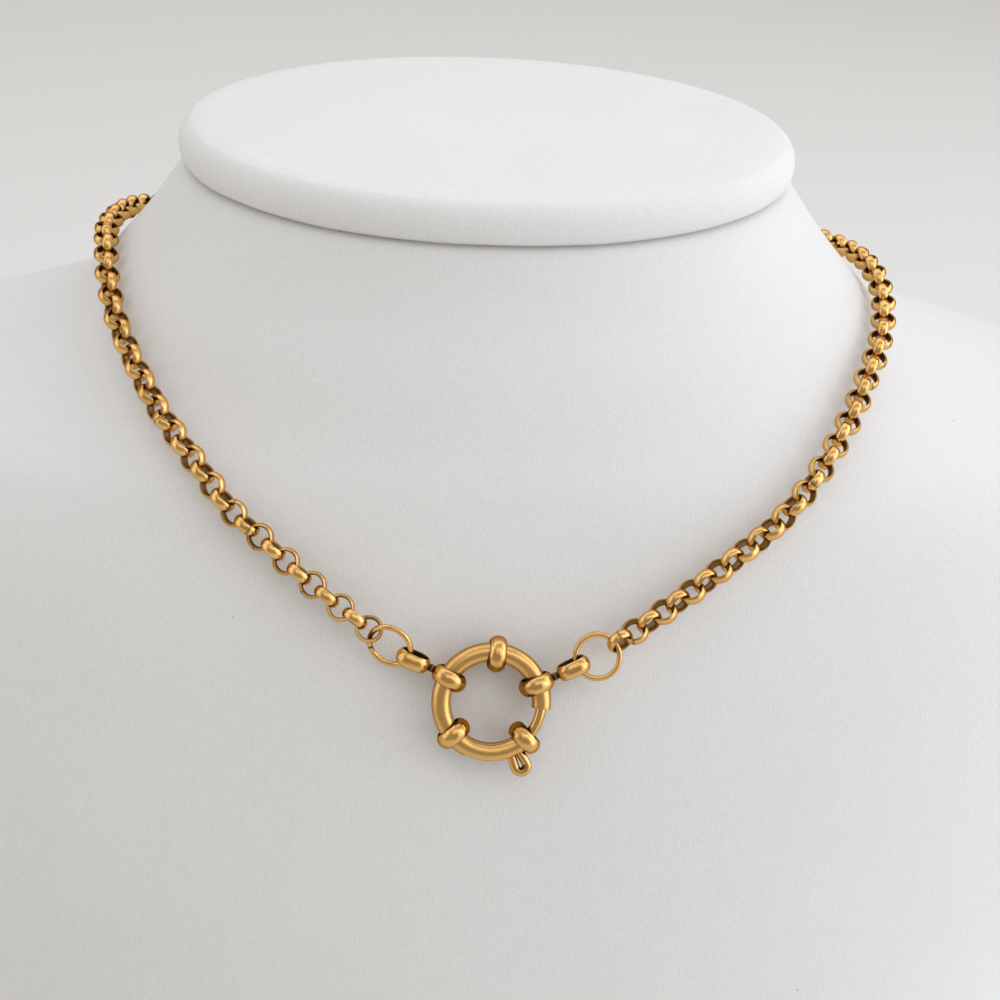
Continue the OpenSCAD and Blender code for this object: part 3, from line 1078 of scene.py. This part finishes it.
@dataclass
class SailorClasp:
    """The sailor clasp's tube, bolt, collars, swivel eyes and jump rings.

    Sizes are in millimetres and angles in degrees, round the clasp from the viewer's right. A pair for
    grime with painted shade, or for the painted reflection on the collars' inner side, says where the
    tone starts and over what width it fades.
    """

    place: ClaspPlace = ClaspPlace()
    ring_radius: float = 5.32
    tube_radius: float = 1.03
    bore_radius: float = 0.7
    bolt_radius: float = 0.57
    bolt_tip: float = 0
    bolt_steps: int = 40
    bolt_sides: int = 28
    bolt_edge: float = 0.06
    bolt_crease: float = 35
    tube_end: float = -6
    tube_mouth: float = -39
    tube_steps: int = 120
    tube_sides: int = 44
    tube_lip: float = 0.05
    tube_crease: float = 30
    seam_at: float = 150
    seam_half: float = 5
    seam_depth: float = 0.12
    seam_clear: float = 1.6
    bore_past: float = 4
    bore_sides: int = 24
    bore_grime_and_shade: tuple[float, float] = (0.02, 0.06)
    thumb_angle: float = -64
    bolt_travel: float = 40
    slot_margin: float = 12
    slot_width: float = 1.16
    slot_steps: int = 24
    slot_past: tuple[float, float] = (0.5, 1)
    flank_edge: float = 0.7
    thumb_wire: float = 0.5
    thumb_loop_radius: float = 0.65
    thumb_loop_at: float = 7.5
    thumb_bend: float = 97
    thumb_steps: int = 32
    thumb_sides: int = 24
    thumb_inside_shade: float = 1.4
    thumb_slit_shade: float = 0.24
    collar_width: float = 1.8
    collar_radius: float = 1.95
    collar_bore: float = 1.38
    collar_dome: float = 1.08
    collar_inset: float = 0.15
    collar_worn: tuple[tuple[float, float], ...] = ((0, 0.06), (0.03, 0.01))
    collar_lip: float = 0.03
    collar_lip_drop: float = 0.01
    collar_crease: float = 30
    collar_steps: int = 96
    collar_rows: int = 20
    collar_grime_and_shade: tuple[float, float] = (0.16, 0.1)
    collar_inside_reflection: tuple[float, float] = (0.9, 0.4)
    collars: tuple[tuple[str, float], ...] = (
        ("collar_top", 84.3),
        ("collar_upper_left", 151),
        ("collar_lower_left", 220.5),
        ("collar_upper_right", 22.7),
        ("collar_lower_right", -46),
    )
    eyes: tuple[Swivel, ...] = (Swivel("left", 151, 156.7, -9), Swivel("right", 22.7, 26.3, 3))
    eye_length: float = 3.75
    eye_depth: float = 2.9
    eye_width: float = 1.7
    eye_wall: float = 0.46
    eye_dome: float = 1.15
    eye_lip: float = 0.08
    eye_steps: int = 88
    eye_rows: int = 16
    eye_grime_and_shade: float = 0.16
    eye_drill: float = 0.47
    eye_drill_depth: float = 1.6
    eye_crease: float = 34
    eye_worn: tuple[tuple[float, float], ...] = ((0, 0.14), (0.02, 0.07), (0.05, 0.03), (0.08, 0.02))
    rivet_gap: float = 0.45
    rivet_radius: float = 0.36
    rivet_washer: float = 0.52
    rivet_head: float = 0.56
    rivet_play: float = 0.28
    rivet_sides: int = 28
    rings: tuple[JumpRing, ...] = (
        JumpRing("left", 5.25, (-10.82, 5.87, 0.12), 141.7, -36.1, 52),
        JumpRing("right", 5.28, (11.21, 5.03, -0.05), 28, -2, 200),
    )
    ring_wire: float = 0.29
    ring_gap: float = 3.0
    ring_steps: int = 96
    ring_sides: int = 20
    ring_joint: float = 1.2
    ring_grime: float = 0.6
    ring_edge: float = 0.03
    ring_crease: float = 40
    hammered_keep: tuple[float, float] = (0.2, 0.15)
    first_seeds: tuple[int, int] = (20, 40)
    satin: Gold = field(default_factory=lambda: Gold("tube gold", Work.SATIN, 0.27))
    hammered: Gold = field(default_factory=lambda: Gold("hammered gold", Work.HAMMERED, 0.2))
    polished: Gold = field(default_factory=lambda: Gold("polished gold", Work.POLISHED, 0.2))

    def _seat(self, piece: bpy.types.Object, *local: Matrix) -> None:
        """Place a piece by matrices in the clasp's flat drawing, and set it on the chest."""
        matrix = self.place.matrix()
        for step in local:
            matrix = matrix @ step
        Bench.move(piece, matrix)

    @staticmethod
    def _turn(degrees: float, axis: str = "Z") -> Matrix:
        """A turn about an axis."""
        return Matrix.Rotation(math.radians(degrees), 4, axis)

    @staticmethod
    def _shift(x: float, y: float = 0, z: float = 0) -> Matrix:
        """A shift in millimetres."""
        return Matrix.Translation(Vector((x, y, z)) * MM)

    def _underside_shade(self, height: np.ndarray, radius: float) -> np.ndarray:
        """How deep the painted shade is on a rounded piece's flanks and underside, as a deeper tone."""
        return (self.flank_edge - height / radius) / self.flank_edge

    def _rod(self, name: str, radius: float, sides: int, degrees: float, steps: int) -> bpy.types.Object:
        """A rod bent round the clasp's ring, from the X axis onwards."""
        return Bench.turned(name, Bench.circle(self.ring_radius, radius, sides), degrees, steps)

    def _tube_outline(self) -> Outline:
        """The tube's outside, with the rolled seam's fine groove on its inner side."""
        seam, groove = math.radians(self.seam_at), math.radians(self.seam_half)
        turns = [2 * math.pi * k / self.tube_sides for k in range(self.tube_sides)]
        turns = [a for a in turns if abs(a - seam) > self.seam_clear * groove]
        outline = []
        for a in sorted([*turns, seam - groove, seam, seam + groove]):
            radius = self.tube_radius - (self.seam_depth if a == seam else 0)
            outline.append((self.ring_radius + radius * math.cos(a), radius * math.sin(a)))
        return outline

    def build_tube(self) -> bpy.types.Object:
        """The tube: a hollow bent pipe with a mouth, a seam and the thumb's slot."""
        degrees = 360 + self.tube_mouth - self.tube_end
        tube = Bench.turned("clasp_tube", self._tube_outline(), degrees, self.tube_steps)
        past_both_ends = degrees + 2 * self.bore_past
        bore = self._rod("bore", self.bore_radius, self.bore_sides, past_both_ends, self.tube_steps)
        Bench.move(bore, self._turn(-self.bore_past))
        Bench.carve(tube, bore)
        half = self.slot_width / 2
        near = self.ring_radius + self.bore_radius - self.slot_past[0]
        far = self.ring_radius + self.tube_radius + self.slot_past[1]
        corners = [(near, -half), (far, -half), (far, half), (near, half)]
        cutter = Bench.turned("slot", corners, self.bolt_travel + 2 * self.slot_margin, self.slot_steps)
        Bench.move(cutter, self._turn(self.thumb_angle - self.bolt_travel - self.slot_margin - self.tube_end))
        Bench.carve(tube, cutter)
        Bench.bevel(tube, self.tube_lip, 2, 50)
        Bench.smooth(tube, self.tube_crease)
        places = Bench.points(tube)
        out = np.hypot(np.hypot(places[:, 0], places[:, 1]) - self.ring_radius, places[:, 2])
        start, fade = self.bore_grime_and_shade
        # Painted shade, with tarnish, on everything inside the outer skin: the bore, the ends and the slot's
        # walls.
        Bench.mark(tube, (self.tube_radius - start - out) / fade)
        # Painted shade on the tube's flanks and underside.
        Bench.mark(tube, self._underside_shade(places[:, 2], self.tube_radius), "shade")
        self._seat(tube, self._turn(self.tube_end))
        Bench.dress(tube, self.satin.material(), Slot.GOLD, Body.BUST, "clasp_ring")
        return tube

    def build_bolt(self) -> bpy.types.Object:
        """The curved bolt, with the bent-wire thumb loop that stands on it."""
        start = self.thumb_angle - self.slot_margin
        turn = self.bolt_tip - start
        rod = self._rod("clasp_bolt_rod", self.bolt_radius, self.bolt_sides, turn, self.bolt_steps)
        Bench.bevel(rod, self.bolt_edge)
        Bench.move(rod, self._turn(start))
        wire = self._thumb_loop()
        Bench.move(wire, self._turn(self.thumb_angle))
        bolt = Bench.join("sliding_bolt", [rod, wire])
        Bench.smooth(bolt, self.bolt_crease)
        self._seat(bolt)
        Bench.dress(bolt, self.polished.material(), Slot.GOLD, Body.BOLT, "clasp_bolt")
        return bolt

    def _thumb_loop(self) -> bpy.types.Object:
        """A wire bent round into a loop, its two legs running in to the bolt."""
        circle = Bench.circle(self.thumb_loop_radius, self.thumb_wire, self.thumb_sides)
        loop = Bench.outline("thumb_loop", circle)
        Bench.spin(loop, 2 * self.thumb_bend, self.thumb_steps)
        Bench.move(loop, self._turn(-self.thumb_bend))
        bend = math.radians(self.thumb_bend)
        stand = self.thumb_loop_at - self.ring_radius
        reach = (stand + self.thumb_loop_radius * math.cos(bend)) / math.sin(bend)
        for side in (1, -1):
            self._draw_leg(loop, side, bend, reach)
        Bench.close(loop)
        places = Bench.points(loop)
        # Painted shade inside the loop's bend and in the slit between its legs.
        inside = (self.thumb_loop_radius - np.hypot(places[:, 0], places[:, 1])) / self.thumb_wire
        slit = 1 - np.abs(places[:, 1]) / self.thumb_slit_shade
        Bench.mark(loop, np.where(places[:, 0] > 0, inside * self.thumb_inside_shade, slit))
        Bench.move(loop, self._shift(self.thumb_loop_at))
        return loop

    def _draw_leg(self, loop: bpy.types.Object, side: int, bend: float, reach: float) -> None:
        """Draw one end of the bent wire in towards the bolt.

        Args:
            loop: The bend, with open ends.
            side: Which end.
            bend: Half the bend's turn, in radians.
            reach: The leg's length.
        """
        end = Vector((math.cos(bend), side * math.sin(bend), 0)) * self.thumb_loop_radius * MM
        along = Vector((-math.sin(bend), side * math.cos(bend), 0))
        chosen = {
            vertex.index
            for vertex in loop.data.vertices
            if abs((vertex.co - end).dot(along)) < SAME_PLANE and vertex.co.y * side > 0
        }
        Bench.take(loop)
        bpy.ops.object.mode_set(mode="EDIT")
        bpy.ops.mesh.select_mode(type="VERT")
        bpy.ops.object.mode_set(mode="OBJECT")
        for polygon in loop.data.polygons:
            polygon.select = False
        for edge in loop.data.edges:
            edge.select = chosen.issuperset(edge.vertices)
        for vertex in loop.data.vertices:
            vertex.select = vertex.index in chosen
        bpy.ops.object.mode_set(mode="EDIT")
        bpy.ops.mesh.extrude_region_move(TRANSFORM_OT_translate={"value": tuple(along * reach * MM)})
        bpy.ops.object.mode_set(mode="OBJECT")

    def _collar_outline(self) -> Outline:
        """A collar's half section: bore, thin lips and a domed outside."""
        half = self.collar_width / 2
        centre = self.collar_radius - self.collar_dome
        lip = centre + math.sqrt(self.collar_dome**2 - half**2)
        dome = []
        for k in range(self.collar_rows + 1):
            z = (half - self.collar_lip) * (2 * k / self.collar_rows - 1)
            dome.append((centre + math.sqrt(self.collar_dome**2 - z * z), z))
        low = [(self.collar_bore + out, up - half) for out, up in self.collar_worn]
        low.append((lip - self.collar_lip_drop, -half))
        high = [(out, -up) for out, up in reversed(low)]
        return [*low, *dome, *high]

    def build_collars(self) -> list[bpy.types.Object]:
        """Five domed collars, hammered and polished. The upper two carry the eyes' rivets."""
        material = self.hammered.material()
        made = []
        for number, (name, angle) in enumerate(self.collars):
            collar = Bench.turned(f"{name}_dome", self._collar_outline(), 360, self.collar_steps)
            places = Bench.points(collar)
            out = np.hypot(places[:, 0], places[:, 1])
            reach, fade = self.collar_grime_and_shade
            # Painted shade, with tarnish, in the bore and on the worn lips next to it.
            Bench.mark(collar, (self.collar_bore + reach - out) / fade)
            # Painted shade on the flanks and underside, and a painted reflection of the ring's warm inside on
            # the inner side, both as a deeper tone.
            flank = self._underside_shade(places[:, 1], self.collar_radius)
            start, fade = self.collar_inside_reflection
            inward_reflection = (-places[:, 0] - start) / fade
            Bench.mark(collar, np.maximum(flank, inward_reflection), "shade")
            Hammer(self.first_seeds[0] + number).strike(collar, self.hammered_keep[0])
            seat = self._shift(self.ring_radius - self.collar_inset)
            Bench.move(collar, self._turn(angle) @ seat @ self._turn(90, "X"))
            for eye in self.eyes:
                if name == f"collar_upper_{eye.side}":
                    collar = Bench.join(f"{name}_dome", [collar, self._rivet(eye)])
            Bench.smooth(collar, self.collar_crease)
            self._seat(collar)
            Bench.dress(collar, material, Slot.GOLD, Body.BUST, name)
            made.append(collar)
        return made

    def _rivet_foot(self, eye: Swivel) -> Matrix:
        """Where a rivet leaves its collar."""
        reach = self.ring_radius - self.collar_inset + self.collar_radius
        angle = math.radians(eye.collar_angle)
        return self._shift(reach * math.cos(angle), reach * math.sin(angle))

    def _rivet(self, eye: Swivel) -> bpy.types.Object:
        """A turned rivet with a washer at each end of its neck and a head inside the eye."""
        neck, washer, head, gap = self.rivet_radius, self.rivet_washer, self.rivet_head, self.rivet_gap
        seat = gap + self.eye_wall + self.rivet_play
        outline = [
            (0.02, -0.5),
            (neck, -0.5),
            (neck + 0.04, -0.02),
            (neck + 0.03, 0.13),
            (washer - 0.03, 0.14),
            (washer, 0.16),
            (washer, 0.22),
            (washer - 0.03, 0.24),
            (neck + 0.04, 0.25),
            (neck + 0.03, gap - 0.02),
            (neck, gap),
            (neck, seat),
            (head - 0.04, seat),
            (head, seat + 0.04),
            (head - 0.02, seat + 0.24),
            (head - 0.14, seat + 0.3),
            (0.02, seat + 0.3),
        ]
        rivet = Bench.turned("rivet", outline, 360, self.rivet_sides)
        places = Bench.points(rivet)
        out = np.hypot(places[:, 0], places[:, 1])
        # Painted shade on the neck in the gap between collar and eye, lighter on the washers.
        Bench.mark(rivet, np.where(out > washer - 0.06, 0.4, 1.0) * (places[:, 2] < gap + 0.1))
        Bench.move(rivet, self._rivet_foot(eye) @ self._turn(eye.direction) @ self._turn(90, "Y"))
        return rivet

    def _eye_outline(self) -> Outline:
        """The eye's band: domed outside, flat inside with worn edges."""
        outer, half = self.eye_depth / 2, self.eye_width / 2
        inner = outer - self.eye_wall
        centre = outer - self.eye_dome
        dome = []
        for k in range(self.eye_rows + 1):
            z = -half + self.eye_lip + (self.eye_width - 2 * self.eye_lip) * k / self.eye_rows
            dome.append((centre + math.sqrt(self.eye_dome**2 - z * z), z))
        low = [(inner + out, up - half) for out, up in self.eye_worn]
        high = [(out, -up) for out, up in reversed(low)]
        return [*low, *dome, *high]

    def _stretch(self, places: np.ndarray, straight: float) -> np.ndarray:
        """Lengthen a round band into a loop with two straight sides.

        Args:
            places: The round band's points.
            straight: The sides' length.

        Returns:
            The loop's points, evenly spaced along it.
        """
        middle = (self.eye_depth - self.eye_wall) / 2
        quarter = middle * math.pi / 2
        turn = np.arctan2(np.abs(places[:, 1]), places[:, 0])
        run = turn / math.pi * (2 * quarter + straight)
        near, far = run > quarter + straight, run < quarter
        angle = np.where(far, run / middle, np.where(near, (run - straight) / middle, math.pi / 2))
        centre = np.where(far, straight, np.where(near, 0, straight - (run - quarter)))
        out = np.hypot(places[:, 0], places[:, 1])
        side = np.where(places[:, 1] < 0, -1, 1)
        return np.stack([centre + out * np.cos(angle), side * out * np.sin(angle), places[:, 2]], axis=1)

    def build_eyes(self) -> list[bpy.types.Object]:
        """The two swivel eyes: a domed band bent into a long loop, with the rivet's hole."""
        material = self.hammered.material()
        made = []
        straight = self.eye_length - self.eye_depth
        for number, swivel in enumerate(self.eyes):
            eye = Bench.turned(f"swivel_eye_{swivel.side}_band", self._eye_outline(), 360, self.eye_steps)
            places = self._stretch(Bench.points(eye), straight)
            Bench.put(eye, places)
            reach = np.hypot(places[:, 0] - np.clip(places[:, 0], 0, straight), places[:, 1])
            inner = self.eye_depth / 2 - self.eye_wall
            # Painted shade, with tarnish, on the band's inner wall.
            Bench.mark(eye, 1 - (reach - inner) / self.eye_grime_and_shade)
            Hammer(self.first_seeds[1] + number).strike(eye, self.hammered_keep[1])
            Bench.carve(eye, self._drill())
            Bench.smooth(eye, self.eye_crease)
            self._seat(
                eye,
                self._rivet_foot(swivel),
                self._turn(swivel.direction),
                self._turn(swivel.roll, "X"),
                self._shift(self.rivet_gap + self.eye_depth / 2),
                self._turn(90, "X"),
            )
            Bench.dress(eye, material, Slot.GOLD, Body.BUST, f"swivel_eye_{swivel.side}")
            made.append(eye)
        return made

    def _drill(self) -> bpy.types.Object:
        """The cutter for the rivet's hole in an eye."""
        Bench.clear()
        radius, depth = self.eye_drill * MM, self.eye_drill_depth * MM
        bpy.ops.mesh.primitive_cylinder_add(vertices=self.rivet_sides, radius=radius, depth=depth)
        drill = bpy.context.object
        Bench.move(drill, self._shift(-self.eye_depth / 2) @ self._turn(90, "Y"))
        return drill

    def build_rings(self) -> list[bpy.types.Object]:
        """The two jump rings, each with the fine gap where its wire ends meet."""
        material = self.polished.material()
        made = []
        for plan in self.rings:
            radius = plan.outside / 2 - self.ring_wire
            circle = Bench.circle(radius, self.ring_wire, self.ring_sides)
            wire = f"jump_ring_{plan.side}_wire"
            ring = Bench.turned(wire, circle, 360 - self.ring_gap, self.ring_steps)
            Bench.bevel(ring, self.ring_edge, 1, 60)
            Bench.smooth(ring, self.ring_crease)
            places = Bench.points(ring)
            turn = np.degrees(np.arctan2(places[:, 1], places[:, 0]))
            near = np.minimum(np.abs(turn), np.abs(turn + self.ring_gap))
            Bench.mark(ring, (near < self.ring_joint) * self.ring_grime)
            tilt = self._turn(plan.tilt_axis), self._turn(plan.tilt, "X")
            self._seat(ring, self._shift(*plan.at), *tilt, self._turn(plan.joint))
            Bench.dress(ring, material, Slot.GOLD, Body.BUST, f"jump_ring_{plan.side}")
            made.append(ring)
        return made


# Studio


@dataclass(frozen=True)
class Panel:
    """A square soft light that faces the bust: its place and side in metres, its power in watts."""

    name: str
    at: tuple[float, float, float]
    side: float
    power: float

    def hang(self, colour: tuple[float, float, float], aim: tuple[float, float, float]) -> None:
        """Add the light to the scene, turned to the point that it lights."""
        light = bpy.data.lights.new(self.name, "AREA")
        light.shape = "SQUARE"
        light.size = self.side
        light.energy = self.power
        light.color = colour
        lamp = bpy.data.objects.new(self.name, light)
        bpy.context.scene.collection.objects.link(lamp)
        lamp.location = self.at
        lamp.rotation_euler = (Vector(aim) - Vector(self.at)).to_track_quat("-Z", "Y").to_euler()


@dataclass
class Studio:
    """A plain pale floor, soft lights, and the camera at the photograph's place.

    The camera's eye is in millimetres, every other place and side in metres, and angles are in degrees.
    """

    panels: tuple[Panel, ...] = (
        Panel("ceiling", (0, 0.1, 1.05), 1.6, 1.9),
        Panel("ceiling behind", (0, 0.6, 0.9), 1, 2.3),
        Panel("window", (0.62, 0.22, 0.56), 0.5, 1),
        Panel("right front", (0.5, -0.4, 0.7), 0.5, 0.8),
        Panel("right side", (0.7, -0.1, 0.3), 0.6, 1.6),
        Panel("right low", (0.6, -0.45, 0.25), 0.5, 0.7),
        Panel("left high", (-0.5, 0.1, 0.7), 0.5, 0.45),
        Panel("left side", (-0.7, -0.1, 0.35), 0.6, 0.9),
        Panel("front high", (0, -0.55, 0.9), 0.6, 0.7),
    )
    aim: tuple[float, float, float] = (0, 0, 0.12)
    air: float = 0.405
    air_colour: Colour = (1, 0.91, 0.79, 1)
    panel_colour: tuple[float, float, float] = (0.95, 1, 1.08)
    floor_side: float = 6
    floor_colour: Colour = (0.8, 0.8, 0.79, 1)
    floor_roughness: float = 0.8
    film_width: float = 36
    nearest: float = 0.01
    lens: float = 64.6
    pitch: float = 30
    yaw: float = 4.09
    roll: float = 3.16
    eye: tuple[float, float, float] = (-11.23, -192.22, 235.56)

    def build_floor(self) -> None:
        """The surface that the bust stands on."""
        Bench.clear()
        bpy.ops.mesh.primitive_plane_add(size=self.floor_side)
        floor = bpy.context.object
        floor.name = "studio_floor"
        graph = Graph("studio floor")
        matt = graph.finish(Base_Color=self.floor_colour, Roughness=self.floor_roughness)
        floor.data.materials.append(matt)

    def build_lights(self) -> None:
        """Soft panels overhead and all round, most of them on the window's side, and even air light."""
        for panel in self.panels:
            panel.hang(self.panel_colour, self.aim)
        world = bpy.data.worlds.new("studio air")
        bpy.context.scene.world = world
        world.use_nodes = True
        background = world.node_tree.nodes["Background"]
        background.inputs["Color"].default_value = self.air_colour
        background.inputs["Strength"].default_value = self.air
        bpy.context.scene.view_settings.view_transform = "Standard"

    def build_camera(self) -> None:
        """The camera, at the angle and distance solved from the photograph."""
        pitch, yaw, roll = (math.radians(a) for a in (self.pitch, self.yaw, self.roll))
        out = math.cos(pitch)
        ahead = Vector((math.sin(yaw) * out, math.cos(yaw) * out, -math.sin(pitch)))
        level = Vector((math.cos(yaw), -math.sin(yaw), 0))
        below = ahead.cross(level)
        right = math.cos(roll) * level - math.sin(roll) * below
        down = math.sin(roll) * level + math.cos(roll) * below
        data = bpy.data.cameras.new("camera")
        data.lens = self.lens
        data.sensor_width = self.film_width
        data.clip_start = self.nearest
        camera = bpy.data.objects.new("camera", data)
        bpy.context.scene.collection.objects.link(camera)
        turn = Matrix((right, -down, -ahead)).transposed().to_4x4()
        camera.matrix_world = Matrix.Translation(Vector(self.eye) * MM) @ turn
        bpy.context.scene.camera = camera


def main() -> None:
    """Build every piece round the frame."""
    logging.basicConfig(level=logging.INFO, format="%(name)s %(message)s")
    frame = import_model()
    Bench.clear()
    bust = NeckBust()
    bust.build_body()
    bust.build_cap()
    Chain().build(frame["nodes"])
    clasp = SailorClasp()
    clasp.build_tube()
    clasp.build_bolt()
    clasp.build_collars()
    clasp.build_eyes()
    clasp.build_rings()
    studio = Studio()
    studio.build_floor()
    studio.build_lights()
    studio.build_camera()


if __name__ == "__main__":
    main()
